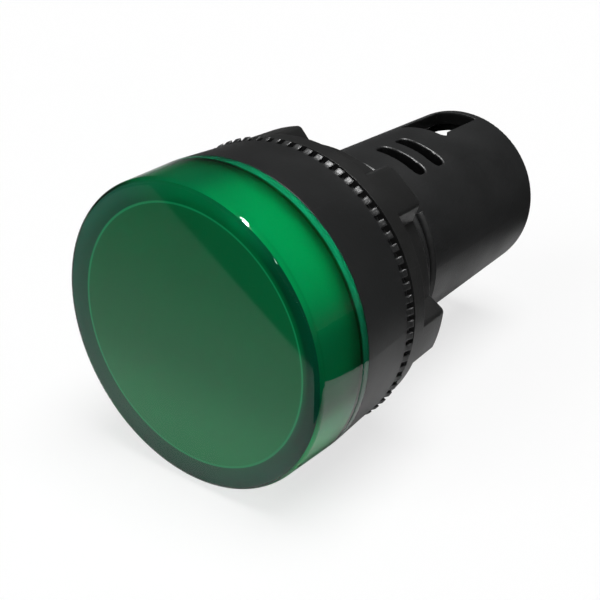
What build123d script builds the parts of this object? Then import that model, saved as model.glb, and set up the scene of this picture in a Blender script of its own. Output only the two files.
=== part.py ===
"""Panel pilot light for a 22 mm hole.

A green lens snaps into a black moulding that is bezel, threaded barrel and rear shell in one.
A lobed nut clamps the panel against a rubber gasket, and wires go in at the open rear end.

Frame: the origin is on the lamp's axis in the panel seat, where the gasket meets the panel.
+Y runs from the panel to the terminals, the lens faces -Y and +Z is up. Lengths are in
millimetres, angles in degrees, and every angle is read from +X towards +Z.
"""

import os
from math import cos, pi, radians, sin, sqrt

from build123d import *

# Barrel and rear shell: the barrel is drawn at the root of its thread
shell_r = 10.25
shell_wall = 1.4
shell_length = 36.63
shell_edge_round = 0.3
thread_depth = 0.7
end_lip_height = 0.9
end_lip_length = 1.0
end_ring_length = 1.43
ledge_overlap = 0.8
ledge_length = 1.0

# Bezel and its serrated rim
head_overhang = 3.9
bezel_depth = 7.28
bezel_draft = 0.17
bezel_front_wall = 1.5
bezel_web = 1.7
rim_length = 0.75
rim_rise = 0.25
rim_wall = 1.08
tooth_count = 78
tooth_depth = 0.5
tooth_gap_share = 0.46

# Lens
lens_depth = 6.57
lens_draft = 0.35
lens_front_wall = 1.1
lens_side_wall = 2.2
lens_edge_round = 0.6
lens_groove_r = 0.14
lens_groove_to_bezel = 0.8
lens_plug_fit = 0.1
lens_plug_to_board = 0.2
snap_bead = 0.25
snap_bead_half_length = 0.3
snap_bead_to_plug_end = 0.9

# Gasket
gasket_thickness = 2.0
gasket_proud = 0.85
gasket_fit = 0.15

# Vents and wire windows, each cut from above and again, half a turn on, from below
vent_near_x = 0.36
vent_far_x = 5.73
vent_width = 2.0
vent_corner_r = 0.7
vent_edge_round = 0.18
vent_pitch = 4.0
vent_count = 2
vent_to_window = 4.85
window_half_width = 2.65
window_length = 9.05
relief_r = 0.75
relief_inset = 0.3

# Nut
nut_length = 5.9
nut_wall = 1.95
nut_bore_fit = 0.1
nut_bore_chamfer = 0.5
nut_flange_inset = 0.25
nut_flange_length = 1.75
lobe_count = 6
lobe_first_angle = 48.0
lobe_top_span = 18.0
lobe_foot_span = 27.0
lobe_side_round = 0.6
lobe_edge_round = 0.35

# Terminal block
block_fit = 0.15
block_floor = 1.8
barrier_thickness = 1.6
barrier_height = 13.0
barrier_length = 9.0
leg_wall = 1.1
leg_low_z = 3.4
leg_height = 1.8
leg_length = 9.6
barb_fit = 0.35
barb_length = 1.2

# Terminals, their screws and the captive washers
terminal_gap = 0.2
terminal_width = 4.6
terminal_top = 3.0
terminal_thickness = 0.8
tail_width = 2.4
tail_on_board = 3.0
tail_slot_fit = 0.15
tail_under_screw = 0.9
screw_r = 1.5
screw_length = 5.6
screw_fit = 0.08
screw_hole_fit = 0.3
screw_head_r = 2.25
screw_head_length = 1.8
screw_head_chamfer = 0.35
screw_slot_width = 0.7
screw_slot_depth = 0.9
washer_width = 4.5
washer_height = 5.4
washer_thickness = 0.8
washer_chamfer = 0.2

# Boards and the rails that hold the driver board by its edges
led_board_thickness = 1.2
led_board_fit = 0.35
driver_board_thickness = 1.2
driver_board_side_gap = 0.48
driver_board_end_gap = 0.3
driver_board_front_gap = 1.1
rail_width = 0.9
rail_overlap = 0.8
rail_fit = 0.1
rail_first_y = -1.0

# LEDs
led_count = 6
led_ring_r = 7.0
led_first_angle = 30.0
led_r = 1.5
led_height = 4.6
led_flange = 0.3
led_flange_height = 0.8

# Driver parts, placed from the front end of their board, or the rectifier from its back end
film_width = 5.0
film_height = 8.0
film_length = 10.0
film_first = 5.0
film_round = 0.6
film_top_chamfer = 0.3
can_r = 2.0
can_height = 7.0
can_mid = 2.4
can_groove_r = 0.2
can_groove_to_board = 1.2
rectifier_width = 4.7
rectifier_length = 3.9
rectifier_height = 2.2
rectifier_last = 3.5
rectifier_chamfer = 0.3
resistor_r = 1.15
resistor_waist = 0.2
resistor_length = 6.3
resistor_cap_length = 1.3
resistor_lift = 1.1
resistor_to_film = 0.3
resistor_first = 7.0
wire_r = 0.3
wire_reach = 0.9
pin_width = 0.64
pin_spacing = 5.08
pin_hole_fit = 0.1
pin_proud = 0.8
pin_on_board = 3.0

# Radii that follow from the sizes above, from the inside out
bore_r = shell_r - shell_wall
end_lip_r = bore_r - end_lip_height
block_r = end_lip_r - block_fit
leg_inner_r = block_r - leg_wall
barb_r = bore_r - barb_fit
ledge_r = block_r - ledge_overlap
thread_r = shell_r + thread_depth
gasket_bore_r = thread_r + gasket_fit
nut_bore_r = thread_r + nut_bore_fit
nut_ring_r = nut_bore_r + nut_wall
head_r = thread_r + head_overhang
nut_flange_r = head_r - nut_flange_inset
bezel_back_r = head_r - bezel_draft
rim_r = bezel_back_r + rim_rise
recess_r = bezel_back_r - rim_wall
gasket_r = recess_r - gasket_fit
mouth_r = head_r - bezel_front_wall
plug_r = mouth_r - lens_plug_fit
lens_front_r = head_r - lens_draft
cavity_r = lens_front_r - lens_side_wall

# Places along the axis
rim_y = -gasket_proud
bezel_front_y = rim_y - bezel_depth
lens_front_y = bezel_front_y - lens_depth
web_back_y = -gasket_thickness
web_front_y = web_back_y - bezel_web
led_seat_y = web_front_y - led_board_thickness
plug_back_y = led_seat_y - lens_plug_to_board
snap_y = plug_back_y - snap_bead_to_plug_end
lip_front_y = shell_length - end_lip_length
window_back_y = shell_length - end_ring_length
block_back_y = lip_front_y - leg_length
block_front_y = block_back_y - block_floor
ledge_front_y = block_front_y - ledge_length
driver_board_front_y = web_front_y + driver_board_front_gap
driver_board_back_y = ledge_front_y - driver_board_end_gap
washer_y = block_back_y + terminal_thickness
head_y = washer_y + washer_thickness

# Places across the axis: the terminals stand beside the barrier, the board under their screws
terminal_x = barrier_thickness / 2 + terminal_gap + terminal_width / 2
tail_x = barrier_thickness / 2 + terminal_gap + tail_width / 2
driver_board_top = -(screw_r + tail_under_screw + terminal_thickness)
driver_board_under = driver_board_top - driver_board_thickness
driver_board_half = sqrt(bore_r**2 - driver_board_under**2) - driver_board_side_gap


def facing_front(y):
    """Plane across the axis at y as the viewer in front sees it. A sketch on it extrudes to -Y."""
    return Plane.XZ.offset(-y)


def facing_up(z):
    """Plane parallel to the driver board at height z."""
    return Plane.XY.offset(z)


def on_circle(radius, angle):
    """Point in a plane across the axis."""
    return (radius * cos(radians(angle)), radius * sin(radians(angle)))


def on_flange_radius(edge):
    """True for an edge along the axis at the nut flange's radius."""
    middle = edge.center()
    return abs(sqrt(middle.X**2 + middle.Z**2) - nut_flange_r) < nut_flange_inset / 2


def save(piece, name):
    """Label a finished piece and write it."""
    piece.part.label = name
    export_step(piece.part, f"parts/{name}.step")


os.makedirs("parts", exist_ok=True)

# Lens: drafted cap, a fine groove near the bezel, and a plug with a snap bead
with BuildPart() as lens:
    with BuildSketch(Plane.XY):
        with BuildLine():
            Polyline(
                (0, lens_front_y),
                (lens_front_r, lens_front_y),
                (head_r, bezel_front_y),
                (plug_r, bezel_front_y),
                (plug_r, snap_y - snap_bead_half_length),
                (plug_r + snap_bead, snap_y),
                (plug_r, snap_y + snap_bead_half_length),
                (plug_r, plug_back_y),
                (cavity_r, plug_back_y),
                (cavity_r, lens_front_y + lens_front_wall),
                (0, lens_front_y + lens_front_wall),
                close=True,
            )
        make_face()
        with Locations((head_r, bezel_front_y - lens_groove_to_bezel)):
            RegularPolygon(lens_groove_r, 4, mode=Mode.SUBTRACT)
    revolve(axis=Axis.Y)
    front_edge = lens.edges().filter_by(GeomType.CIRCLE).sort_by(Axis.Y)[0]
    fillet(front_edge, lens_edge_round)
save(lens, "lens")

# Housing: bezel cup, web, barrel, shell, inner ledge and end lip turned as one profile
with BuildPart() as housing:
    with BuildSketch(Plane.XY):
        with BuildLine():
            Polyline(
                (bore_r, web_front_y),
                (mouth_r, web_front_y),
                (mouth_r, snap_y + snap_bead_half_length),
                (mouth_r + snap_bead, snap_y),
                (mouth_r, snap_y - snap_bead_half_length),
                (mouth_r, bezel_front_y),
                (head_r, bezel_front_y),
                (bezel_back_r, rim_y - rim_length),
                (rim_r, rim_y),
                (recess_r, rim_y),
                (recess_r, web_back_y),
                (shell_r, web_back_y),
                (shell_r, shell_length),
                (end_lip_r, shell_length),
                (end_lip_r, lip_front_y),
                (bore_r, lip_front_y),
                (bore_r, block_front_y),
                (ledge_r, block_front_y),
                (ledge_r, ledge_front_y),
                (bore_r, ledge_front_y),
                close=True,
            )
        make_face()
    revolve(axis=Axis.Y)
    end_edges = housing.edges().filter_by(GeomType.CIRCLE).group_by(Axis.Y)[-1]
    fillet(end_edges.sort_by(SortBy.RADIUS)[-1], shell_edge_round)

    # Serrated rim: gaps between the teeth, open at the rear edge
    gap_width = 2 * pi * bezel_back_r / tooth_count * tooth_gap_share
    with BuildSketch(facing_front(rim_y)):
        with PolarLocations(rim_r, tooth_count):
            Rectangle(2 * tooth_depth, gap_width)
    extrude(amount=rim_length, mode=Mode.SUBTRACT)

    # Rails above and below both edges of the driver board
    rail_x = driver_board_half - rail_overlap + shell_r / 2
    rail_heights = (
        driver_board_top + rail_fit + rail_width / 2,
        driver_board_under - rail_fit - rail_width / 2,
    )
    with BuildSketch(facing_front(ledge_front_y)):
        with Locations([(side * rail_x, height) for side in (-1, 1) for height in rail_heights]):
            Rectangle(shell_r, rail_width)
        Circle((bore_r + shell_r) / 2, mode=Mode.INTERSECT)
    extrude(amount=ledge_front_y - rail_first_y)

    # Vents and wire window on both sides of the shell
    vent_x = (vent_near_x + vent_far_x) / 2
    window_front_y = window_back_y - window_length
    last_vent_y = window_front_y - vent_to_window - vent_width / 2
    vent_ys = [last_vent_y - number * vent_pitch for number in range(vent_count)]
    relief_place = (window_half_width - relief_inset, window_front_y + relief_r)
    for turn in (0, 180):
        with BuildSketch(Plane.XY.rotated((0, turn, 0))):
            with Locations([(vent_x, y) for y in vent_ys]):
                RectangleRounded(vent_far_x - vent_near_x, vent_width, vent_corner_r)
            with Locations((0, window_back_y - window_length / 2)):
                Rectangle(2 * window_half_width, window_length)
            with Locations(relief_place):
                Circle(relief_r)
        extrude(amount=shell_r, mode=Mode.SUBTRACT)
    outside = housing.faces().filter_by(GeomType.CYLINDER).sort_by(SortBy.AREA)[-1]
    vents = outside.inner_wires().sort_by(Axis.Y)[: 2 * vent_count]
    fillet([edge for vent in vents for edge in vent.edges()], vent_edge_round)
save(housing, "housing")

# Gasket: stands proud of the rim and meets the panel at the origin's plane
with BuildPart() as gasket:
    with BuildSketch(facing_front(0)):
        Circle(gasket_r)
        Circle(gasket_bore_r, mode=Mode.SUBTRACT)
    extrude(amount=gasket_thickness)
save(gasket, "gasket")

# Nut: round flange, ring and six finger lobes with sloping sides
with BuildPart() as nut:
    with BuildSketch(facing_front(nut_length)):
        Circle(nut_ring_r)
        for number in range(lobe_count):
            angle = lobe_first_angle + number * 360 / lobe_count
            foot = [on_circle(nut_ring_r, angle + side * lobe_foot_span / 2) for side in (-1, 1)]
            top = [on_circle(nut_flange_r, angle + side * lobe_top_span / 2) for side in (-1, 1)]
            with BuildLine():
                Line(foot[0], top[0])
                ThreePointArc(top[0], on_circle(nut_flange_r, angle), top[1])
                Polyline(top[1], foot[1], foot[0])
            make_face()
    extrude(amount=nut_length)
    side_edges = nut.edges().filter_by(Axis.Y)
    fillet([edge for edge in side_edges if on_flange_radius(edge)], lobe_side_round)
    back_edges = nut.faces().sort_by(Axis.Y)[-1].outer_wire().edges()
    fillet(back_edges, lobe_edge_round)
    with BuildSketch(facing_front(nut_flange_length)):
        Circle(nut_flange_r)
    extrude(amount=nut_flange_length)
    with BuildSketch(facing_front(nut_length)):
        Circle(nut_bore_r)
    extrude(amount=nut_length, mode=Mode.SUBTRACT)
    chamfer(nut.faces().sort_by(Axis.Y)[-1].inner_wires().edges(), nut_bore_chamfer)
save(nut, "mounting_nut")

# LED board: round board on the web, with two holes for the link pins
pin_height = driver_board_top + pin_width / 2
pin_hole = pin_width + 2 * pin_hole_fit
pin_xs = (-pin_spacing / 2, pin_spacing / 2)
with BuildPart() as led_board:
    with BuildSketch(facing_front(web_front_y)):
        Circle(mouth_r - led_board_fit)
        with Locations([(x, pin_height) for x in pin_xs]):
            Rectangle(pin_hole, pin_hole, mode=Mode.SUBTRACT)
    extrude(amount=led_board_thickness)
save(led_board, "led_board")

# LEDs: domed bodies with a foot flange, standing on the board in a ring
for number in range(led_count):
    x, z = on_circle(led_ring_r, led_first_angle + number * 360 / led_count)
    dome_y = led_r - led_height
    with BuildPart() as led:
        with BuildSketch(Plane(origin=(x, led_seat_y, z), z_dir=(0, 0, 1))):
            with BuildLine():
                Polyline(
                    (0, dome_y),
                    (0, 0),
                    (led_r + led_flange, 0),
                    (led_r + led_flange, -led_flange_height),
                    (led_r, -led_flange_height),
                    (led_r, dome_y),
                )
                CenterArc((0, dome_y), led_r, -90, 90)
                Line((0, -led_height), (0, dome_y))
            make_face()
        revolve(axis=Axis((x, 0, z), (0, 1, 0)))
    save(led, f"led_{number + 1}")

# Driver board: slides in the rails from the web to the ledge
driver_board_length = driver_board_back_y - driver_board_front_y
driver_board_mid_y = (driver_board_front_y + driver_board_back_y) / 2
with BuildPart() as driver_board:
    with BuildSketch(facing_up(driver_board_under)):
        with Locations((0, driver_board_mid_y)):
            Rectangle(2 * driver_board_half, driver_board_length)
    extrude(amount=driver_board_thickness)
save(driver_board, "driver_board")

# Film capacitor: block on top of the board
film_mid_y = driver_board_front_y + film_first + film_length / 2
with BuildPart() as film_capacitor:
    with BuildSketch(facing_up(driver_board_top)):
        with Locations((0, film_mid_y)):
            Rectangle(film_width, film_length)
    extrude(amount=film_height)
    fillet(film_capacitor.edges().filter_by(Axis.Z), film_round)
    chamfer(film_capacitor.faces().sort_by(Axis.Z)[-1].edges(), film_top_chamfer)
save(film_capacitor, "film_capacitor")

# Smoothing capacitor: small can standing on the board between the link pins
can_y = driver_board_front_y + can_mid
with BuildPart() as smoothing_capacitor:
    with BuildSketch(facing_front(can_y)):
        with Locations((can_r / 2, driver_board_top + can_height / 2)):
            Rectangle(can_r, can_height)
        with Locations((can_r, driver_board_top + can_groove_to_board)):
            RegularPolygon(can_groove_r, 4, mode=Mode.SUBTRACT)
    revolve(axis=Axis((0, can_y, 0), (0, 0, 1)))
save(smoothing_capacitor, "smoothing_capacitor")

# Rectifier: flat block under the board
rectifier_mid_y = driver_board_back_y - rectifier_last - rectifier_length / 2
with BuildPart() as rectifier:
    with BuildSketch(facing_up(driver_board_under)):
        with Locations((0, rectifier_mid_y)):
            Rectangle(rectifier_width, rectifier_length)
    extrude(amount=-rectifier_height)
    chamfer(rectifier.faces().sort_by(Axis.Z)[0].edges(), rectifier_chamfer)
save(rectifier, "rectifier")

# Resistors: waisted bodies beside the film capacitor, carried clear of the board by their leads
resistor_x = film_width / 2 + resistor_to_film + resistor_r
resistor_z = driver_board_top + resistor_r + resistor_lift
resistor_waist_r = resistor_r - resistor_waist
resistor_first_y = driver_board_front_y + resistor_first
resistor_last_y = resistor_first_y + resistor_length
for number, side in enumerate((-1, 1)):
    x = side * resistor_x
    with BuildPart() as resistor:
        with BuildSketch(Plane(origin=(x, resistor_first_y, resistor_z), z_dir=(0, 0, 1))):
            with BuildLine():
                Polyline(
                    (0, 0),
                    (resistor_r, 0),
                    (resistor_r, resistor_cap_length),
                    (resistor_waist_r, resistor_cap_length),
                    (resistor_waist_r, resistor_length - resistor_cap_length),
                    (resistor_r, resistor_length - resistor_cap_length),
                    (resistor_r, resistor_length),
                    (0, resistor_length),
                    close=True,
                )
            make_face()
        revolve(axis=Axis((x, 0, resistor_z), (0, 1, 0)))
        first_leg_y = resistor_first_y - wire_reach
        last_leg_y = resistor_last_y + wire_reach
        with BuildLine():
            lead = Polyline(
                (x, first_leg_y, driver_board_top),
                (x, first_leg_y, resistor_z),
                (x, last_leg_y, resistor_z),
                (x, last_leg_y, driver_board_top),
            )
        with BuildSketch(Plane(origin=lead @ 0, z_dir=(0, 0, 1))):
            Circle(wire_r)
        sweep(path=lead, transition=Transition.RIGHT)
    save(resistor, f"resistor_{number + 1}")

# Link pins: square pins through the LED board, soldered flat on the driver board
pin_front_y = led_seat_y - pin_proud
pin_back_y = driver_board_front_y + pin_on_board
for number, x in enumerate(pin_xs):
    with BuildPart() as link_pin:
        with BuildSketch(facing_up(driver_board_top)):
            with Locations((x, (pin_front_y + pin_back_y) / 2)):
                Rectangle(pin_width, pin_back_y - pin_front_y)
        extrude(amount=pin_width)
    save(link_pin, f"link_pin_{number + 1}")

# Terminal block: floor on the ledge, barrier, and four legs whose barbs snap in front of the lip
tail_z = driver_board_top + terminal_thickness / 2
with BuildPart() as terminal_block:
    with BuildSketch(facing_front(block_back_y)):
        Circle(block_r)
        with Locations((-terminal_x, 0), (terminal_x, 0)):
            Circle(screw_r + screw_hole_fit, mode=Mode.SUBTRACT)
        with Locations((-tail_x, tail_z), (tail_x, tail_z)):
            Rectangle(
                tail_width + 2 * tail_slot_fit,
                terminal_thickness + 2 * tail_slot_fit,
                mode=Mode.SUBTRACT,
            )
    extrude(amount=block_floor)
    with BuildSketch(facing_front(block_back_y)):
        Rectangle(barrier_thickness, barrier_height)
    extrude(amount=-barrier_length)
    for outer_r, length in ((block_r, leg_length), (barb_r, barb_length)):
        with BuildSketch(facing_front(lip_front_y)):
            Circle(outer_r)
            Circle(leg_inner_r, mode=Mode.SUBTRACT)
            Rectangle(2 * outer_r, 2 * leg_low_z, mode=Mode.SUBTRACT)
            Rectangle(2 * outer_r, 2 * (leg_low_z + leg_height), mode=Mode.INTERSECT)
        extrude(amount=length)
save(terminal_block, "terminal_block")

# Terminals: brass angles whose tails reach through the block onto the driver board
terminal_height = terminal_top - driver_board_top
terminal_mid_z = (terminal_top + driver_board_top) / 2
for number, side in enumerate((-1, 1)):
    x = side * terminal_x
    with BuildPart() as terminal:
        with BuildSketch(facing_front(washer_y)):
            with Locations((x, terminal_mid_z)):
                Rectangle(terminal_width, terminal_height)
            with Locations((x, 0)):
                Circle(screw_r + screw_fit, mode=Mode.SUBTRACT)
        extrude(amount=terminal_thickness)
        with BuildSketch(facing_front(washer_y)):
            with Locations((side * tail_x, tail_z)):
                Rectangle(tail_width, terminal_thickness)
        extrude(amount=washer_y - driver_board_back_y + tail_on_board)
    save(terminal, f"terminal_{number + 1}")

    # Clamp washer: square washer held captive under the screw's head
    with BuildPart() as clamp_washer:
        with BuildSketch(facing_front(head_y)):
            with Locations((x, 0)):
                Rectangle(washer_width, washer_height)
                Circle(screw_r + screw_fit, mode=Mode.SUBTRACT)
        extrude(amount=washer_thickness)
        chamfer(clamp_washer.faces().sort_by(Axis.Y)[-1].outer_wire().edges(), washer_chamfer)
    save(clamp_washer, f"clamp_washer_{number + 1}")

    # Terminal screw: slotted cheese head
    with BuildPart() as terminal_screw:
        with BuildSketch(facing_front(head_y)):
            with Locations((x, 0)):
                Circle(screw_r)
        extrude(amount=screw_length)
        with BuildSketch(facing_front(head_y + screw_head_length)):
            with Locations((x, 0)):
                Circle(screw_head_r)
        extrude(amount=screw_head_length)
        head_edges = terminal_screw.edges().filter_by(GeomType.CIRCLE).group_by(Axis.Y)[-1]
        chamfer(head_edges, screw_head_chamfer)
        with BuildSketch(facing_front(head_y + screw_head_length)):
            with Locations((x, 0)):
                Rectangle(3 * screw_head_r, screw_slot_width)
        extrude(amount=screw_slot_depth, mode=Mode.SUBTRACT)
    save(terminal_screw, f"terminal_screw_{number + 1}")
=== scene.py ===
from math import cos, pi, radians, sin

import bmesh
import bpy
from mathutils import Matrix, Vector


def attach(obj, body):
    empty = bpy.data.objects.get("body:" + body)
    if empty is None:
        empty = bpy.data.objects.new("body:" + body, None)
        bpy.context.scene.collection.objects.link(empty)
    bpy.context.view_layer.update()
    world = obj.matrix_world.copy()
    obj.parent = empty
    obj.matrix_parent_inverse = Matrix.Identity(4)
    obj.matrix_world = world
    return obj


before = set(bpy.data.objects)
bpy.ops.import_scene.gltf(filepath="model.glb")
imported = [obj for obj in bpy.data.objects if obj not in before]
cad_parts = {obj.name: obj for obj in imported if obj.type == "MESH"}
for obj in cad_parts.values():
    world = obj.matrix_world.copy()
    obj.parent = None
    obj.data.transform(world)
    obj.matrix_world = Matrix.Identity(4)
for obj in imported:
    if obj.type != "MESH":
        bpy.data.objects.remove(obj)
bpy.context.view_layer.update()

MM = 0.001

# Camera: the photograph's viewing angle and distance
VIEW_AZIMUTH = radians(36.105)
VIEW_ELEVATION = radians(25.496)
CAMERA_PLACE = Vector((47.46, -62.58, 35.82)) * MM
CAMERA_LENS = 52.5

# Floor, in millimetres, under the lowest point of the bezel's rim, and its share of plain white
FLOOR_Z = -14.94
FLOOR_HALF = 4000
FLOOR_PALE_SHARE = 0.72

# Where glossy faces see the white table end: lines y = level + slope * x, in front and to the right
CARD_HALF = 3000
CARD_RISE = 0.05
TABLE_FRONT_Y, TABLE_FRONT_SLOPE = -36.9, 0.59
TABLE_SIDE_Y, TABLE_SIDE_SLOPE = 93.5, -2.39

# How that table darkens away from the lamp, and its shaded patch under the barrel
TABLE_FALL_REACH, TABLE_FALL_AHEAD = 120, 57
UNDER_FIRST_X, UNDER_LAST_X = -14, 7
UNDER_FIRST_Y, UNDER_LAST_Y = 3, 36
UNDER_SOFT, UNDER_SHADE = 3, 0.75

# Lamps that only glossy faces see, by the facing that shines: angle round the axis and tilts
GLINT_ANGLE, GLINT_TILTS = 64, (50, 55, 60, 65)
FAINT_ANGLE, FAINT_TILT = 48, 35

# Shapes repeated from the part, in millimetres
BARREL_ROOT_R = 10.25
THREAD_TOP_R = 10.93
THREAD_PITCH = 1.5
THREAD_FIRST_Y, THREAD_LAST_Y = -1.15, 11.0
CAVITY_R = 12.3
CAVITY_FRONT_Y = -13.6
PLUG_R = 13.25
PLUG_BACK_Y = -5.1
LENS_BACK_R = 14.85
BEZEL_FRONT_Y = -8.13
RIM_FIRST_Y, RIM_LAST_Y = -1.62, -0.8
TOOTH_FOOT_R, TOOTH_TOP_R = 14.7, 14.93
TERMINAL_X = 3.3
LED_BOARD_R = 13.0
LED_FLANGE_Y = -5.7
DRIVER_BOARD_HALF = 7.199
DRIVER_BOARD_MID_Y = 10.165
DRIVER_BOARD_HALF_LENGTH = 12.765
CAN_Y = -0.2
CAN_TOP_Z = 3.8
RESISTOR_FIRST_Y, RESISTOR_LAST_Y = 4.4, 10.7

# Shapes of the added pieces, in millimetres
TURN_STEPS = 128
THREAD_SUNK = 0.15
THREAD_FOOT_SHARE, THREAD_TOP_SHARE = 0.78, 0.16
THREAD_STEPS = 96
SKIN = 0.03
SKIN_CORNER = 0.1
SKIN_FOLD = 0.3
# The frosting reaches out behind the clear rim as a sheet painted dark: painted shade seen through the
# rim
RIM_SHADE_SHEET_R, RIM_SHADE_SHEET_Y = 14.15, -14.28
SHOULDER_LENGTH, SHOULDER_THICKNESS = 0.72, 0.2
SHOULDER_FRONT_GAP, SHOULDER_BACK_GAP = 0.09, 0.05

# Black mouldings
TOOTH_SLOPE = 0.55
RIM_ROUNDING, RIM_ROUGHNESS = 0.25, 0.42
EDGE_ROUGHNESS = 0.36
# Inside the barrel: share of the tint in its painted shade, and its roughness
INSIDE_SHADE_SHARE, INSIDE_ROUGHNESS = 0.35, 0.34

# Painted light and shade on the lens: angles from +X towards +Z, and places in millimetres
# The lens is painted lighter on the side facing this angle: painted light
LIT_SIDE_ANGLE = radians(52)
EDGE_SHADE_ANGLE = radians(8)
EDGE_SHADE_FIRST_Y, EDGE_SHADE_LAST_Y = -13.2, -12.5
EDGE_SHADE_FIRST_R, EDGE_SHADE_LAST_R = 12.5, 13.1
LOW_FRONT_FIRST_Z, LOW_FRONT_LAST_Z = -10, -1
LOW_WALL_FIRST_Z, LOW_WALL_LAST_Z = -7, -2.5

# Greens of the lens: its own tones, and tones painted lighter or darker for light and shade
LENS_GREEN = (0.0, 0.9, 0.75, 1.0)
LENS_DENSITY = 600.0
FRONT_GREENS = (0.0133, 0.1061, 0.0476, 1.0), (0.0148, 0.1123, 0.0499, 1.0)
# Lower front disc and lower wall painted brighter: painted light
LOW_FRONT_LIT_GREEN = (0.0195, 0.156, 0.0718, 1.0)
# Wall in painted shade, and painted lighter on the lit side
WALL_SHADE_AND_LIGHT_GREENS = (0.0062, 0.1014, 0.0585, 1.0), (0.0, 0.2418, 0.1069, 1.0)
LOW_WALL_LIT_GREEN = (0.0234, 0.663, 0.351, 1.0)
# Rim in painted shade, dark teal, a little lighter on the lit side
RIM_PAINTED_SHADE_GREENS = (0.0133, 0.0593, 0.0406, 1.0), (0.0, 0.0952, 0.0359, 1.0)
EDGE_SHADE_GREEN = (0.0, 0.0234, 0.0156, 1.0)
# Lighter line round the disc's edge: painted light
OUTLINE_LIGHT_GREEN = (0.0234, 0.2496, 0.117, 1.0)
SHOULDER_GREENS = (0.0023, 0.0663, 0.0328, 1.0), (0.0031, 0.078, 0.0374, 1.0)
# Shoulder painted lighter on the lit side: painted light
LIT_SHOULDER_GREEN = (0.0023, 0.1872, 0.078, 1.0)

# Colour rings of the resistors
RING_BROWN = (0.09, 0.03, 0.012, 1.0)
RING_BLACK = (0.012, 0.012, 0.012, 1.0)
RING_RED = (0.45, 0.012, 0.012, 1.0)
RING_YS = (6.1, 6.9, 7.7, 8.5, 9.5)
RING_COLOURS = (RING_BROWN, RING_BLACK, RING_BLACK, RING_RED, RING_BROWN)
RING_HALF = 0.22


# Node helpers
def add(tree, kind, given=None, **settings):
    """Add a node with its settings, and with its inputs given by name or number."""
    made = tree.nodes.new(kind)
    for key, value in settings.items():
        setattr(made, key, value)
    for key, value in (given or {}).items():
        put(tree, made.inputs[key], value)
    return made


def put(tree, socket, value):
    """Give an input a plain value or a link."""
    if isinstance(value, bpy.types.NodeSocket):
        tree.links.new(value, socket)
    else:
        socket.default_value = value


def maths(tree, operation, first, second=0.0, third=0.0):
    made = add(tree, "ShaderNodeMath", {0: first, 1: second, 2: third}, operation=operation)
    return made.outputs[0]


def ramp(tree, value, low, high, out_low=0.0, out_high=1.0):
    """Value mapped from low..high to out_low..out_high, smooth and clamped."""
    made = add(
        tree,
        "ShaderNodeMapRange",
        {"Value": value, "From Min": low, "From Max": high, "To Min": out_low, "To Max": out_high},
        interpolation_type="SMOOTHSTEP",
    )
    return made.outputs["Result"]


def blend(tree, share, first, second):
    made = add(tree, "ShaderNodeMix", {0: share, 6: first, 7: second}, data_type="RGBA")
    return made.outputs[2]


def blend_number(tree, share, first, second):
    made = add(tree, "ShaderNodeMix", {0: share, 2: first, 3: second}, data_type="FLOAT")
    return made.outputs[0]


def noise(tree, place, scale, detail=2.0, roughness=0.5):
    made = add(
        tree,
        "ShaderNodeTexNoise",
        {"Vector": place, "Scale": scale, "Detail": detail, "Roughness": roughness},
    )
    return made.outputs["Fac"]


def rounded(tree, radius):
    """Normal of the surface with its edges rounded, and the share by which it turns there."""
    turned_edge = add(tree, "ShaderNodeBevel", {"Radius": radius}, samples=6)
    plain = tree.nodes.new("ShaderNodeNewGeometry").outputs["Normal"]
    normal = turned_edge.outputs[0]
    agree = add(tree, "ShaderNodeVectorMath", {0: normal, 1: plain}, operation="DOT_PRODUCT")
    return normal, ramp(tree, agree.outputs["Value"], 0.995, 0.88)


def bump(tree, height, depth, under=None):
    """Surface normal with a relief, laid on the normal under it."""
    made = add(tree, "ShaderNodeBump", {"Height": height, "Distance": depth})
    if under:
        tree.links.new(under, made.inputs["Normal"])
    return made.outputs["Normal"]


def band(tree, value, low, high, soft):
    """One between low and high in millimetres, nought outside, with soft ends."""
    rise = ramp(tree, value, (low - soft) * MM, (low + soft) * MM)
    fall = ramp(tree, value, (high - soft) * MM, (high + soft) * MM, 1.0, 0.0)
    return maths(tree, "MULTIPLY", rise, fall)


def tinted(colour, factor):
    return tuple(factor * channel for channel in colour[:3]) + (1.0,)


class Finish:
    """A procedural material: its tree, the piece's own coordinates, and one surface shader."""

    def __init__(self, name):
        self.material = bpy.data.materials.new(name)
        self.material.use_nodes = True
        self.tree = self.material.node_tree
        self.tree.nodes.clear()
        self.surface = self.tree.nodes.new("ShaderNodeBsdfPrincipled")
        self.output = self.tree.nodes.new("ShaderNodeOutputMaterial")
        self.tree.links.new(self.surface.outputs[0], self.output.inputs["Surface"])
        self.place = self.tree.nodes.new("ShaderNodeTexCoord").outputs["Object"]
        split = add(self.tree, "ShaderNodeSeparateXYZ", {0: self.place})
        self.x, self.y, self.z = split.outputs

    def set(self, **sockets):
        """Give the shader's inputs plain values or links."""
        for key, value in sockets.items():
            put(self.tree, self.surface.inputs[key.replace("_", " ")], value)


def axis_reach(finish):
    """Distance from the lamp's axis."""
    tree = finish.tree
    square = maths(tree, "MULTIPLY", finish.z, finish.z)
    return maths(tree, "SQRT", maths(tree, "MULTIPLY_ADD", finish.x, finish.x, square))


def facing_share(finish, angle):
    """How far a point round the axis lies towards this angle, from -1 to 1."""
    tree = finish.tree
    along = maths(tree, "MULTIPLY", finish.z, sin(angle))
    along = maths(tree, "MULTIPLY_ADD", finish.x, cos(angle), along)
    return maths(tree, "DIVIDE", along, axis_reach(finish))


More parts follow.
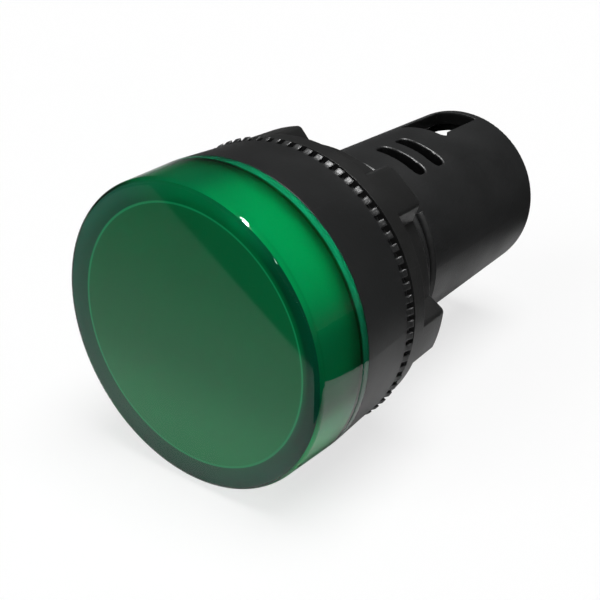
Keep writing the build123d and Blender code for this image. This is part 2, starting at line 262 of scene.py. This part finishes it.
# Black mouldings: plastic and rubber
def black_plastic(name, tint, rough, grain, depth, rim=None, edge=0.12, hollow_r=None):
    """Black moulding with grain of this size and depth, faint scuffs, and edges rounded by edge and
    painted paler: a painted highlight.

    Teeth stand between the two places of rim. Within hollow_r of the axis it is smoother and painted
    darker: painted shade.
    """
    finish = Finish(name)
    tree = finish.tree
    fine = noise(tree, finish.place, 1 / (grain * MM), 3.0, 0.6)
    broad = noise(tree, finish.place, 1 / (9 * MM), 3.0)
    specks = ramp(tree, noise(tree, finish.place, 1 / (0.55 * MM), 2.0), 0.66, 0.76)
    stretch = add(
        tree,
        "ShaderNodeMapping",
        {"Vector": finish.place, "Scale": (1.0, 0.06, 1.0), "Rotation": (0.35, 0.2, 0.9)},
    )
    scuffs = ramp(tree, noise(tree, stretch.outputs[0], 1 / (0.5 * MM), 2.0), 0.68, 0.8)
    radius = edge * MM
    roughness = ramp(tree, broad, 0.3, 0.7, rough - 0.04, rough + 0.04)
    height = maths(tree, "ADD", fine, maths(tree, "MULTIPLY", scuffs, -0.5))
    if rim:
        teeth = band(tree, finish.y, rim[0], rim[1], 0.06)
        radius = blend_number(tree, teeth, radius, RIM_ROUNDING * MM)
        roughness = blend_number(tree, teeth, roughness, RIM_ROUGHNESS)
        smooth = ramp(tree, finish.y, (rim[0] - 0.1) * MM, rim[0] * MM)
        height = maths(tree, "MULTIPLY", height, blend_number(tree, smooth, 0.3, 1.0))
    normal, turned_share = rounded(tree, radius)
    if rim:
        normal = leaning(finish, normal, teeth)
    marks = maths(tree, "MULTIPLY_ADD", specks, 0.5, maths(tree, "MULTIPLY", scuffs, 0.35))
    # Specks and scuffs are wear; the paler rounded edges are a painted highlight
    marks_and_edge_highlight = maths(tree, "MULTIPLY_ADD", turned_share, 0.6, maths(tree, "MULTIPLY", marks, 0.5))
    shade = blend(tree, ramp(tree, broad, 0.3, 0.7, 0.0, 0.35), tint, tinted(tint, 1.5))
    # Within hollow_r the tint is darkened: painted shade in the hollow
    if hollow_r:
        reach = axis_reach(finish)
        inside = ramp(tree, reach, (hollow_r - 0.3) * MM, (hollow_r - 0.05) * MM, 1.0, 0.0)
        shade = blend(tree, inside, shade, tinted(tint, INSIDE_SHADE_SHARE))
        roughness = blend_number(tree, inside, roughness, INSIDE_ROUGHNESS)
    smoothed = maths(tree, "MULTIPLY", turned_share, 0.7)
    finish.set(
        Base_Color=blend(tree, marks_and_edge_highlight, shade, tinted(tint, 3.2)),
        Roughness=blend_number(tree, smoothed, roughness, EDGE_ROUGHNESS),
        Normal=bump(tree, height, depth * MM, normal),
    )
    return finish


def leaning(finish, normal, teeth):
    """Normal of the crowned tops of the teeth, which slope down towards the front of the bezel."""
    tree = finish.tree
    on_top = ramp(tree, axis_reach(finish), TOOTH_FOOT_R * MM, (TOOTH_TOP_R - 0.04) * MM)
    crowned = maths(tree, "MULTIPLY", teeth, on_top)
    slope = add(tree, "ShaderNodeCombineXYZ", {1: maths(tree, "MULTIPLY", crowned, -TOOTH_SLOPE)})
    total = add(tree, "ShaderNodeVectorMath", {0: normal, 1: slope.outputs[0]}, operation="ADD")
    made = add(tree, "ShaderNodeVectorMath", {0: total.outputs[0]}, operation="NORMALIZE")
    return made.outputs[0]


# Lens
def lens_plastic():
    """Clear polished plastic, green because it absorbs red most."""
    finish = Finish("green_lens_plastic")
    tree = finish.tree
    waves = noise(tree, finish.place, 1 / (6 * MM), 1.0)
    finish.set(
        Base_Color=(0.9, 1.0, 0.95, 1.0),
        Roughness=ramp(tree, waves, 0.3, 0.7, 0.02, 0.04),
        IOR=1.5,
        Transmission_Weight=1.0,
    )
    absorb = add(tree, "ShaderNodeVolumeAbsorption", {"Color": LENS_GREEN, "Density": LENS_DENSITY})
    tree.links.new(absorb.outputs[0], finish.output.inputs["Volume"])
    return finish


def frosted_plastic():
    """Etched inside of the lens: front disc, wall, and rim round the disc, with painted light and shade
    on them.
    """
    finish = Finish("frosted_lens_inside")
    tree = finish.tree
    grain = noise(tree, finish.place, 1 / (0.35 * MM), 3.0, 0.6)
    cloud = noise(tree, finish.place, 1 / (5 * MM), 2.0)
    reach = axis_reach(finish)
    towards = facing_share(finish, LIT_SIDE_ANGLE)
    edge_side = ramp(tree, facing_share(finish, EDGE_SHADE_ANGLE), 0.55, 0.9)

    # Lower front disc painted brighter: painted light
    low = ramp(tree, finish.z, LOW_FRONT_FIRST_Z * MM, LOW_FRONT_LAST_Z * MM, 1.0, 0.0)
    front = blend(tree, cloud, *FRONT_GREENS)
    front = blend(tree, low, front, LOW_FRONT_LIT_GREEN)

    near_front = ramp(tree, finish.y, EDGE_SHADE_FIRST_Y * MM, EDGE_SHADE_LAST_Y * MM, 1.0, 0.0)
    near_front = maths(tree, "MULTIPLY", near_front, edge_side)
    # Lower wall painted brighter where the lamps reach little: painted light
    low = ramp(tree, finish.z, LOW_WALL_FIRST_Z * MM, LOW_WALL_LAST_Z * MM, 1.0, 0.0)
    # Wall painted lighter on the side facing the light: painted light
    wall = blend(tree, ramp(tree, towards, 0.76, 1.0), *WALL_SHADE_AND_LIGHT_GREENS)
    wall = blend(tree, maths(tree, "MULTIPLY", near_front, 0.5), wall, EDGE_SHADE_GREEN)
    wall = blend(tree, low, wall, LOW_WALL_LIT_GREEN)

    outside = ramp(tree, reach, EDGE_SHADE_FIRST_R * MM, EDGE_SHADE_LAST_R * MM)
    outside = maths(tree, "MULTIPLY", outside, edge_side)
    # Lighter line painted round the disc's edge: painted light
    outline = band(tree, reach, CAVITY_R - 0.05, CAVITY_R + 0.16, 0.05)
    # Rim painted dark teal: painted shade, lighter on the lit side
    rim = blend(tree, ramp(tree, towards, 0.3, 0.9), *RIM_PAINTED_SHADE_GREENS)
    rim = blend(tree, maths(tree, "MULTIPLY", outside, 0.85), rim, EDGE_SHADE_GREEN)
    rim = blend(tree, maths(tree, "MULTIPLY", outline, 0.85), rim, OUTLINE_LIGHT_GREEN)

    wall_first_y = CAVITY_FRONT_Y + SKIN_CORNER
    behind_front = ramp(tree, finish.y, wall_first_y * MM, (wall_first_y + SKIN_FOLD) * MM)
    past_corner = ramp(tree, reach, (CAVITY_R - 0.08) * MM, (CAVITY_R - 0.02) * MM)
    before_corner = ramp(tree, finish.y, (CAVITY_FRONT_Y + 0.05) * MM, CAVITY_FRONT_Y * MM)
    on_rim = maths(tree, "MULTIPLY", past_corner, before_corner)
    finish.set(
        Base_Color=blend(tree, on_rim, blend(tree, behind_front, front, wall), rim),
        Roughness=ramp(tree, grain, 0.3, 0.7, 0.55, 0.75),
        Specular_IOR_Level=0.0,
    )
    return finish


def shoulder_plastic():
    """Matt moulded shoulder of the lens where it meets the bezel, painted lighter on one side: painted
    light.
    """
    finish = Finish("matt_lens_shoulder")
    tree = finish.tree
    grain = noise(tree, finish.place, 1 / (0.4 * MM), 3.0, 0.6)
    # clear is the lit side, where the shoulder is painted lighter: painted light
    clear = ramp(tree, facing_share(finish, LIT_SIDE_ANGLE), 0.76, 1.0)
    shade = blend(tree, grain, *SHOULDER_GREENS)
    finish.set(
        Base_Color=blend(tree, clear, shade, LIT_SHOULDER_GREEN),
        Roughness=0.6,
        Specular_IOR_Level=0.0,
        Normal=bump(tree, grain, 0.02 * MM),
    )
    return finish


# Inner parts
def board_laminate(name, edge_reach):
    """Glass laminate under green solder resist, with copper areas showing and pale cut edges."""
    finish = Finish(name)
    tree = finish.tree
    copper = add(
        tree,
        "ShaderNodeTexVoronoi",
        {"Vector": finish.place, "Scale": 1 / (2.1 * MM), "Randomness": 0.85},
        distance="CHEBYCHEV",
    )
    lines = maths(tree, "GREATER_THAN", copper.outputs["Distance"], 0.36)
    weave = add(
        tree,
        "ShaderNodeTexWave",
        {"Vector": finish.place, "Scale": 1 / (1.4 * MM)},
        bands_direction="X",
    )
    faint = maths(tree, "MULTIPLY", weave.outputs["Fac"], 0.18)
    resist = blend(tree, lines, (0.02, 0.095, 0.06, 1.0), (0.012, 0.06, 0.04, 1.0))
    resist = blend(tree, faint, resist, (0.03, 0.13, 0.085, 1.0))
    cut = ramp(tree, edge_reach(finish), -0.03 * MM, 0.01 * MM)
    finish.set(
        Base_Color=blend(tree, cut, resist, (0.32, 0.27, 0.14, 1.0)),
        Roughness=blend_number(tree, cut, 0.32, 0.75),
        Normal=bump(tree, lines, -0.03 * MM),
    )
    return finish


def beyond_disc_edge(finish):
    """How far a point lies past the edge of the round board."""
    return maths(finish.tree, "SUBTRACT", axis_reach(finish), LED_BOARD_R * MM)


def beyond_strip_edge(finish):
    """How far a point lies past the edge of the board along the barrel."""
    tree = finish.tree
    side = maths(tree, "SUBTRACT", maths(tree, "ABSOLUTE", finish.x), DRIVER_BOARD_HALF * MM)
    from_middle = maths(tree, "ABSOLUTE", maths(tree, "SUBTRACT", finish.y, DRIVER_BOARD_MID_Y * MM))
    ends = maths(tree, "SUBTRACT", from_middle, DRIVER_BOARD_HALF_LENGTH * MM)
    return maths(tree, "MAXIMUM", side, ends)


def led_epoxy():
    """Green diffused epoxy with a denser flange."""
    finish = Finish("green_led_epoxy")
    tree = finish.tree
    cloud = noise(tree, finish.place, 1 / (1.2 * MM), 2.0)
    flange = ramp(tree, finish.y, (LED_FLANGE_Y - 0.1) * MM, (LED_FLANGE_Y + 0.05) * MM)
    dome = blend(tree, cloud, (0.22, 0.56, 0.32, 1.0), (0.28, 0.64, 0.38, 1.0))
    finish.set(
        Base_Color=blend(tree, flange, dome, (0.12, 0.4, 0.2, 1.0)),
        Roughness=ramp(tree, cloud, 0.3, 0.7, 0.12, 0.2),
        IOR=1.53,
        Transmission_Weight=0.35,
    )
    return finish


def capacitor_box():
    """Moulded box of the film capacitor, its shine broken by shallow dimples."""
    finish = Finish("red_brown_film_box")
    tree = finish.tree
    dimple = noise(tree, finish.place, 1 / (0.9 * MM), 2.0)
    normal, turned_share = rounded(tree, 0.2 * MM)
    colour = blend(tree, dimple, (0.31, 0.068, 0.025, 1.0), (0.38, 0.092, 0.036, 1.0))
    # Rounded edges painted paler: a painted highlight
    edges = maths(tree, "MULTIPLY", turned_share, 0.4)
    finish.set(
        Base_Color=blend(tree, edges, colour, (0.5, 0.16, 0.07, 1.0)),
        Roughness=ramp(tree, dimple, 0.3, 0.7, 0.25, 0.38),
        Normal=bump(tree, dimple, 0.03 * MM, normal),
    )
    return finish


def drawn_can():
    """Drawn aluminium can with fine lines round it and a cross scored in its top."""
    finish = Finish("drawn_aluminium_can")
    tree = finish.tree
    lines = add(tree, "ShaderNodeMapping", {"Vector": finish.place, "Scale": (0.15, 0.15, 3.0)})
    drawn = noise(tree, lines.outputs[0], 1 / (0.5 * MM), 3.0)
    across = maths(tree, "ABSOLUTE", finish.x)
    along = maths(tree, "ABSOLUTE", maths(tree, "SUBTRACT", finish.y, CAN_Y * MM))
    score = ramp(tree, maths(tree, "MINIMUM", across, along), 0.06 * MM, 0.14 * MM, 1.0, 0.0)
    top = ramp(tree, finish.z, (CAN_TOP_Z - 0.1) * MM, (CAN_TOP_Z - 0.02) * MM)
    score = maths(tree, "MULTIPLY", score, top)
    height = maths(tree, "SUBTRACT", maths(tree, "MULTIPLY", drawn, 0.2), score)
    colour = blend(tree, drawn, (0.64, 0.65, 0.67, 1.0), (0.74, 0.74, 0.76, 1.0))
    finish.set(
        Base_Color=blend(tree, score, colour, (0.3, 0.3, 0.31, 1.0)),
        Metallic=1.0,
        Roughness=ramp(tree, drawn, 0.3, 0.7, 0.26, 0.42),
        Normal=bump(tree, height, 0.04 * MM),
    )
    return finish


def rectifier_epoxy():
    """Matt black moulding compound."""
    finish = Finish("black_rectifier_epoxy")
    tree = finish.tree
    grain = noise(tree, finish.place, 1 / (0.25 * MM), 3.0, 0.7)
    finish.set(
        Base_Color=blend(tree, grain, (0.014, 0.014, 0.015, 1.0), (0.024, 0.024, 0.026, 1.0)),
        Roughness=ramp(tree, grain, 0.3, 0.7, 0.5, 0.68),
        Normal=bump(tree, grain, 0.02 * MM),
    )
    return finish


def resistor_lacquer():
    """Blue-green lacquer with colour rings round the waist, and tinned leads at both ends."""
    finish = Finish("lacquered_resistor")
    tree = finish.tree
    cloud = noise(tree, finish.place, 1 / (1.5 * MM), 2.0)
    colour = blend(tree, cloud, (0.22, 0.42, 0.46, 1.0), (0.28, 0.49, 0.53, 1.0))
    for middle, ring in zip(RING_YS, RING_COLOURS):
        here = band(tree, finish.y, middle - RING_HALF, middle + RING_HALF, 0.03)
        colour = blend(tree, here, colour, ring)
    body = band(tree, finish.y, RESISTOR_FIRST_Y - 0.03, RESISTOR_LAST_Y + 0.03, 0.02)
    finish.set(
        Base_Color=blend(tree, body, (0.75, 0.75, 0.72, 1.0), colour),
        Metallic=maths(tree, "SUBTRACT", 1.0, body),
        Roughness=ramp(tree, cloud, 0.3, 0.7, 0.22, 0.34),
        Normal=bump(tree, cloud, 0.04 * MM),
    )
    return finish


def plain_metal(name, dull, bright, smooth, rough, turned_at=None):
    """Plated or stamped metal: soft tarnish, fine scratches, and turning marks about turned_at."""
    finish = Finish(name)
    tree = finish.tree
    cloud = noise(tree, finish.place, 1 / (2.5 * MM), 3.0)
    stretch = add(
        tree,
        "ShaderNodeMapping",
        {"Vector": finish.place, "Scale": (1.0, 1.0, 0.05), "Rotation": (0.2, 0.1, 0.5)},
    )
    scratch = noise(tree, stretch.outputs[0], 1 / (0.12 * MM), 2.0)
    height = scratch
    normal, turned_share = rounded(tree, 0.1 * MM)
    if turned_at:
        out = maths(tree, "SUBTRACT", maths(tree, "ABSOLUTE", finish.x), turned_at * MM)
        reach = maths(tree, "MULTIPLY_ADD", out, out, maths(tree, "MULTIPLY", finish.z, finish.z))
        reach = maths(tree, "SQRT", reach)
        rings = maths(tree, "SINE", maths(tree, "MULTIPLY", reach, 2 * pi / (0.13 * MM)))
        height = maths(tree, "MULTIPLY_ADD", rings, 0.25, maths(tree, "MULTIPLY", scratch, 0.7))
    colour = blend(tree, ramp(tree, cloud, 0.35, 0.65), dull, bright)
    # Rounded edges painted brighter: a painted highlight
    edges = maths(tree, "MULTIPLY", turned_share, 0.5)
    finish.set(
        Base_Color=blend(tree, edges, colour, tinted(bright, 1.15)),
        Metallic=1.0,
        Roughness=ramp(tree, cloud, 0.3, 0.7, rough, smooth),
        Normal=bump(tree, height, 0.008 * MM, normal),
    )
    return finish


# Pieces in mesh code
def piece_from(name, mesh, finish, smooth=True):
    """Hang a mesh on the lamp's body with its material and slot."""
    made = bpy.data.objects.new(name, mesh)
    bpy.context.scene.collection.objects.link(made)
    mesh.materials.clear()
    mesh.materials.append(finish.material)
    if smooth:
        mesh.polygons.foreach_set("use_smooth", [True] * len(mesh.polygons))
    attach(made, "lamp")


def turned(name, outline):
    """Closed shell turned about the lamp's axis from (radius, y) points in millimetres."""
    work = bmesh.new()
    rings = []
    for radius, y in outline:
        if radius == 0:
            rings.append([work.verts.new((0, y * MM, 0))])
        else:
            ring = []
            for step in range(TURN_STEPS):
                angle = 2 * pi * step / TURN_STEPS
                place = (radius * cos(angle) * MM, y * MM, radius * sin(angle) * MM)
                ring.append(work.verts.new(place))
            rings.append(ring)
    for one, two in zip(rings, rings[1:] + rings[:1]):
        if len(one) == 1 and len(two) == 1:
            continue
        for step in range(TURN_STEPS):
            after = (step + 1) % TURN_STEPS
            if len(one) == 1:
                work.faces.new((one[0], two[step], two[after]))
            elif len(two) == 1:
                work.faces.new((one[step], one[after], two[0]))
            else:
                work.faces.new((one[step], one[after], two[after], two[step]))
    bmesh.ops.recalc_face_normals(work, faces=work.faces)
    mesh = bpy.data.meshes.new(name)
    work.to_mesh(mesh)
    work.free()
    return mesh


# Thread: one ridge wound round the barrel by a node tree
def thread_tree(finish):
    """Node tree that winds a tapered ridge round the lamp's axis."""
    tree = bpy.data.node_groups.new("wound_thread", "GeometryNodeTree")
    interface = tree.interface
    for label, kind, value in (
        ("Root Radius", "NodeSocketFloat", BARREL_ROOT_R * MM),
        ("Top Radius", "NodeSocketFloat", THREAD_TOP_R * MM),
        ("Pitch", "NodeSocketFloat", THREAD_PITCH * MM),
        ("First Y", "NodeSocketFloat", THREAD_FIRST_Y * MM),
        ("Last Y", "NodeSocketFloat", THREAD_LAST_Y * MM),
        ("Foot Share", "NodeSocketFloat", THREAD_FOOT_SHARE),
        ("Top Share", "NodeSocketFloat", THREAD_TOP_SHARE),
        ("Steps Per Turn", "NodeSocketInt", THREAD_STEPS),
    ):
        socket = interface.new_socket(label, in_out="INPUT", socket_type=kind)
        socket.default_value = value
    interface.new_socket("Geometry", in_out="OUTPUT", socket_type="NodeSocketGeometry")
    given = tree.nodes.new("NodeGroupInput").outputs
    out = tree.nodes.new("NodeGroupOutput")
    length = maths(tree, "SUBTRACT", given["Last Y"], given["First Y"])
    turns = maths(tree, "DIVIDE", length, given["Pitch"])
    sunk = maths(tree, "SUBTRACT", given["Root Radius"], THREAD_SUNK * MM)
    path = add(
        tree,
        "GeometryNodeCurveSpiral",
        {
            "Resolution": given["Steps Per Turn"],
            "Rotations": turns,
            "Start Radius": sunk,
            "End Radius": sunk,
            "Height": length,
            "Reverse": False,
        },
    )
    upright = add(tree, "GeometryNodeSetCurveNormal", {"Curve": path.outputs[0]}, mode="Z_UP")
    inward = maths(tree, "SUBTRACT", sunk, given["Top Radius"])
    foot = maths(tree, "MULTIPLY", maths(tree, "MULTIPLY", given["Pitch"], given["Foot Share"]), 0.5)
    top = maths(tree, "MULTIPLY", maths(tree, "MULTIPLY", given["Pitch"], given["Top Share"]), 0.5)
    profile = add(tree, "GeometryNodeCurvePrimitiveQuadrilateral", mode="POINTS")
    corners = ((0.0, foot, -1), (inward, top, -1), (inward, top, 1), (0.0, foot, 1))
    for number, (out_by, half, side) in enumerate(corners):
        corner = add(tree, "ShaderNodeCombineXYZ", {0: out_by, 1: maths(tree, "MULTIPLY", half, side)})
        tree.links.new(corner.outputs[0], profile.inputs[f"Point {number + 1}"])
    swept = add(
        tree,
        "GeometryNodeCurveToMesh",
        {"Curve": upright.outputs[0], "Profile Curve": profile.outputs[0], "Fill Caps": True},
    )
    along = add(tree, "ShaderNodeCombineXYZ", {1: given["First Y"]})
    moved = add(
        tree,
        "GeometryNodeTransform",
        {
            "Geometry": swept.outputs[0],
            "Translation": along.outputs[0],
            "Rotation": (-pi / 2, 0, 0),
        },
    )
    real = add(tree, "GeometryNodeRealizeInstances", {"Geometry": moved.outputs[0]})
    painted = add(
        tree,
        "GeometryNodeSetMaterial",
        {"Geometry": real.outputs[0], "Material": finish.material},
    )
    tree.links.new(painted.outputs[0], out.inputs[0])
    return tree


def grown(name, tree):
    """Mesh that a node tree makes, with no modifier left."""
    holder = bpy.data.objects.new(f"{name}_holder", bpy.data.meshes.new(f"{name}_holder"))
    bpy.context.scene.collection.objects.link(holder)
    holder.modifiers.new("grow", "NODES").node_group = tree
    graph = bpy.context.evaluated_depsgraph_get()
    mesh = bpy.data.meshes.new_from_object(holder.evaluated_get(graph))
    bpy.data.objects.remove(holder)
    mesh.name = name
    return mesh


# Stage, light and camera
def square_sheet(name, half, z):
    """Level square about the lamp's axis, in millimetres, part of the stage."""
    mesh = bpy.data.meshes.new(name)
    corners = ((-half, -half), (half, -half), (half, half), (-half, half))
    mesh.from_pydata([(x * MM, y * MM, z * MM) for x, y in corners], [], [(0, 1, 2, 3)])
    made = bpy.data.objects.new(name, mesh)
    bpy.context.scene.collection.objects.link(made)
    return made


def make_floor():
    """Pale matt floor. The camera sees it near white, with a soft shadow left."""
    material = bpy.data.materials.new("pale_floor")
    material.use_nodes = True
    tree = material.node_tree
    tree.nodes.clear()
    matt = add(tree, "ShaderNodeBsdfDiffuse", {"Color": (0.9, 0.9, 0.9, 1)})
    pale = add(tree, "ShaderNodeEmission", {"Color": (1, 1, 1, 1), "Strength": 1.0})
    seen = tree.nodes.new("ShaderNodeLightPath").outputs["Is Camera Ray"]
    share = maths(tree, "MULTIPLY", seen, FLOOR_PALE_SHARE)
    both = add(tree, "ShaderNodeMixShader", {0: share, 1: matt.outputs[0], 2: pale.outputs[0]})
    out = tree.nodes.new("ShaderNodeOutputMaterial")
    tree.links.new(both.outputs[0], out.inputs["Surface"])
    floor = square_sheet("floor", FLOOR_HALF, FLOOR_Z)
    floor.data.materials.append(material)


def make_shade_card():
    """Sheet that only glossy faces see: it ends the white table in front and to the right."""
    material = bpy.data.materials.new("shade_card")
    material.use_nodes = True
    tree = material.node_tree
    tree.nodes.clear()
    place = tree.nodes.new("ShaderNodeTexCoord").outputs["Object"]
    split = add(tree, "ShaderNodeSeparateXYZ", {0: place})
    x, y = split.outputs[0], split.outputs[1]
    reach = maths(tree, "SQRT", maths(tree, "MULTIPLY_ADD", x, x, maths(tree, "MULTIPLY", y, y)))
    fall = maths(tree, "MULTIPLY_ADD", reach, 1 / (TABLE_FALL_REACH * MM), 1.0)
    fall = maths(tree, "DIVIDE", 1.0, fall)
    ahead = maths(tree, "MULTIPLY", maths(tree, "MINIMUM", y, 0.0), 1 / (TABLE_FALL_AHEAD * MM))
    fall = maths(tree, "DIVIDE", fall, maths(tree, "MULTIPLY_ADD", ahead, ahead, 1.0))
    under_x = band(tree, x, UNDER_FIRST_X, UNDER_LAST_X, UNDER_SOFT)
    under_y = band(tree, y, UNDER_FIRST_Y, UNDER_LAST_Y, UNDER_SOFT)
    under = maths(tree, "MULTIPLY", under_x, under_y)
    inside = maths(tree, "MULTIPLY_ADD", under, -UNDER_SHADE, 1.0)
    for level, rise in ((TABLE_FRONT_Y, TABLE_FRONT_SLOPE), (TABLE_SIDE_Y, TABLE_SIDE_SLOPE)):
        over = maths(tree, "SUBTRACT", y, maths(tree, "MULTIPLY_ADD", x, rise, level * MM))
        if rise < 0:
            over = maths(tree, "MULTIPLY", over, -1.0)
        inside = maths(tree, "MULTIPLY", ramp(tree, over, -0.3 * MM, 0.5 * MM), inside)
    fall = maths(tree, "MULTIPLY", fall, inside)
    passed = blend(tree, fall, (0.015, 0.015, 0.015, 1), (1, 1, 1, 1))
    clear = add(tree, "ShaderNodeBsdfTransparent", {"Color": passed})
    out = tree.nodes.new("ShaderNodeOutputMaterial")
    tree.links.new(clear.outputs[0], out.inputs["Surface"])
    card = square_sheet("shade_card", CARD_HALF, FLOOR_Z + CARD_RISE)
    card.data.materials.append(material)
    card.visible_camera = False
    card.visible_diffuse = False
    card.visible_shadow = False
    card.visible_transmission = False
    card.visible_volume_scatter = False


def make_lamp(name, towards, spread, strength, mirrored=False):
    """Far lamp in direction towards, spread degrees across, for matt faces or for glossy ones alone."""
    data = bpy.data.lights.new(name, "SUN")
    data.angle = radians(spread)
    data.energy = strength
    lamp = bpy.data.objects.new(name, data)
    lamp.rotation_euler = Vector(towards).to_track_quat("Z", "Y").to_euler()
    lamp.visible_glossy = mirrored
    lamp.visible_diffuse = not mirrored
    lamp.visible_transmission = not mirrored
    bpy.context.scene.collection.objects.link(lamp)


def make_world():
    """Soft room, pale low down and dark above, and white behind the object and through the lens."""
    world = bpy.data.worlds.new("soft_room")
    bpy.context.scene.world = world
    world.use_nodes = True
    tree = world.node_tree
    tree.nodes.clear()
    rays = tree.nodes.new("ShaderNodeLightPath").outputs
    direction = tree.nodes.new("ShaderNodeTexCoord").outputs["Generated"]
    height = add(tree, "ShaderNodeSeparateXYZ", {0: direction}).outputs[2]
    matt_level = ramp(tree, height, 0.03, 0.25, 0.6, 0.06)
    gloss_level = ramp(tree, height, 0.0, 0.2, 0.12, 0.03)
    level = blend_number(tree, rays["Is Glossy Ray"], matt_level, gloss_level)
    behind = maths(tree, "MAXIMUM", rays["Is Camera Ray"], rays["Is Transmission Ray"])
    strength = blend_number(tree, behind, level, 1.0)
    glow = add(tree, "ShaderNodeBackground", {"Color": (1, 1, 1, 1), "Strength": strength})
    out = tree.nodes.new("ShaderNodeOutputWorld")
    tree.links.new(glow.outputs[0], out.inputs["Surface"])


def glint_direction(angle, tilt):
    """Where a light stands for its image to reach the camera from a surface that faces this way.

    The angle goes round the axis, and the tilt is measured from straight ahead of the lens.
    """
    across, ahead = sin(radians(tilt)), -cos(radians(tilt))
    facing = Vector((cos(radians(angle)) * across, ahead, sin(radians(angle)) * across))
    away = camera_away()
    return 2 * facing.dot(away) * facing - away


def camera_away():
    """Direction from the lamp to the camera."""
    level = cos(VIEW_ELEVATION)
    return Vector((sin(VIEW_AZIMUTH) * level, -cos(VIEW_AZIMUTH) * level, sin(VIEW_ELEVATION)))


def make_camera():
    data = bpy.data.cameras.new("camera")
    data.lens = CAMERA_LENS
    data.sensor_width = 36.0
    data.clip_start, data.clip_end = 0.001, 20.0
    camera = bpy.data.objects.new("camera", data)
    away = camera_away()
    across = Vector((cos(VIEW_AZIMUTH), sin(VIEW_AZIMUTH), 0.0))
    upward = away.cross(across)
    turn = Matrix((across, upward, away)).transposed()
    camera.matrix_world = Matrix.Translation(CAMERA_PLACE) @ turn.to_4x4()
    bpy.context.scene.collection.objects.link(camera)
    bpy.context.scene.camera = camera


def dress(finish, *names):
    """Give CAD nodes their finish."""
    for name in names:
        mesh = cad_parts[name].data
        mesh.materials.clear()
        mesh.materials.append(finish.material)


make_camera()
make_floor()
make_shade_card()
make_world()
make_lamp("soft_top_lamp", towards=(0.18, 0.0, 0.98), spread=40, strength=2.7)
make_lamp("soft_front_lamp", towards=(-0.3, -0.8, 0.45), spread=40, strength=1.2)
for tilt in GLINT_TILTS:
    towards = glint_direction(GLINT_ANGLE, tilt)
    make_lamp(f"small_lamp_{tilt}", towards, spread=7, strength=2.0, mirrored=True)
towards = glint_direction(FAINT_ANGLE, FAINT_TILT)
make_lamp("faint_lamp_right", towards, spread=3, strength=0.12, mirrored=True)

housing_plastic = black_plastic(
    "black_housing",
    tint=(0.0096, 0.0101, 0.0103, 1),
    rough=0.45,
    grain=0.3,
    depth=0.03,
    rim=(RIM_FIRST_Y, RIM_LAST_Y),
    hollow_r=BARREL_ROOT_R,
)
nut_plastic = black_plastic(
    "black_nut", tint=(0.0115, 0.0117, 0.0115, 1), rough=0.44, grain=0.35, depth=0.02, edge=0.04
)
block_plastic = black_plastic(
    "black_terminal_block", tint=(0.016, 0.016, 0.017, 1), rough=0.42, grain=0.3, depth=0.015
)
rubber = black_plastic("black_rubber", tint=(0.007, 0.007, 0.007, 1), rough=0.75, grain=0.4, depth=0.02)
zinc = plain_metal(
    "zinc_plated_steel",
    dull=(0.55, 0.56, 0.58, 1),
    bright=(0.72, 0.72, 0.74, 1),
    smooth=0.28,
    rough=0.42,
    turned_at=TERMINAL_X,
)
tin = plain_metal(
    "tinned_wire", dull=(0.6, 0.6, 0.57, 1), bright=(0.78, 0.78, 0.75, 1), smooth=0.24, rough=0.36
)
brass = plain_metal(
    "stamped_brass", dull=(0.6, 0.42, 0.17, 1), bright=(0.74, 0.57, 0.27, 1), smooth=0.26, rough=0.42
)
dress(housing_plastic, "housing")
dress(nut_plastic, "mounting_nut")
dress(block_plastic, "terminal_block")
dress(rubber, "gasket")
dress(lens_plastic(), "lens")
dress(board_laminate("led_board_laminate", beyond_disc_edge), "led_board")
dress(board_laminate("driver_board_laminate", beyond_strip_edge), "driver_board")
dress(led_epoxy(), *[f"led_{number + 1}" for number in range(6)])
dress(capacitor_box(), "film_capacitor")
dress(drawn_can(), "smoothing_capacitor")
dress(rectifier_epoxy(), "rectifier")
dress(resistor_lacquer(), "resistor_1", "resistor_2")
dress(tin, "link_pin_1", "link_pin_2")
dress(brass, "terminal_1", "terminal_2")
dress(zinc, "terminal_screw_1", "terminal_screw_2", "clamp_washer_1", "clamp_washer_2")

frosting = turned(
    "lens_frosting",
    [
        (0, CAVITY_FRONT_Y - SKIN),
        (CAVITY_R, CAVITY_FRONT_Y - SKIN),
        # Out behind the clear rim: the sheet painted dark, painted shade
        (RIM_SHADE_SHEET_R, RIM_SHADE_SHEET_Y - SKIN),
        (RIM_SHADE_SHEET_R, RIM_SHADE_SHEET_Y),
        (CAVITY_R + 2 * SKIN, CAVITY_FRONT_Y),
        (CAVITY_R + SKIN, CAVITY_FRONT_Y + SKIN_CORNER),
        (CAVITY_R + SKIN, PLUG_BACK_Y - SKIN),
        (PLUG_R - SKIN, PLUG_BACK_Y - SKIN),
        (PLUG_R - SKIN, PLUG_BACK_Y + SKIN),
        (CAVITY_R - SKIN_FOLD, PLUG_BACK_Y + SKIN),
        (CAVITY_R - SKIN_FOLD, CAVITY_FRONT_Y + SKIN_FOLD),
        (0, CAVITY_FRONT_Y + SKIN_FOLD),
    ],
)
piece_from("lens_frosting", frosting, frosted_plastic())
shoulder = turned(
    "lens_shoulder",
    [
        (LENS_BACK_R - SHOULDER_FRONT_GAP, BEZEL_FRONT_Y - SHOULDER_LENGTH),
        (LENS_BACK_R - SHOULDER_BACK_GAP, BEZEL_FRONT_Y - SKIN),
        (PLUG_R - SKIN, BEZEL_FRONT_Y - SKIN),
        (PLUG_R - SKIN, BEZEL_FRONT_Y - SHOULDER_THICKNESS),
        (LENS_BACK_R - SKIN_FOLD, BEZEL_FRONT_Y - SHOULDER_THICKNESS),
        (LENS_BACK_R - SKIN_FOLD, BEZEL_FRONT_Y - SHOULDER_LENGTH),
    ],
)
piece_from("lens_shoulder", shoulder, shoulder_plastic())
thread = grown("barrel_thread", thread_tree(housing_plastic))
piece_from("barrel_thread", thread, housing_plastic, smooth=False)

bpy.context.scene.view_settings.view_transform = "Standard"
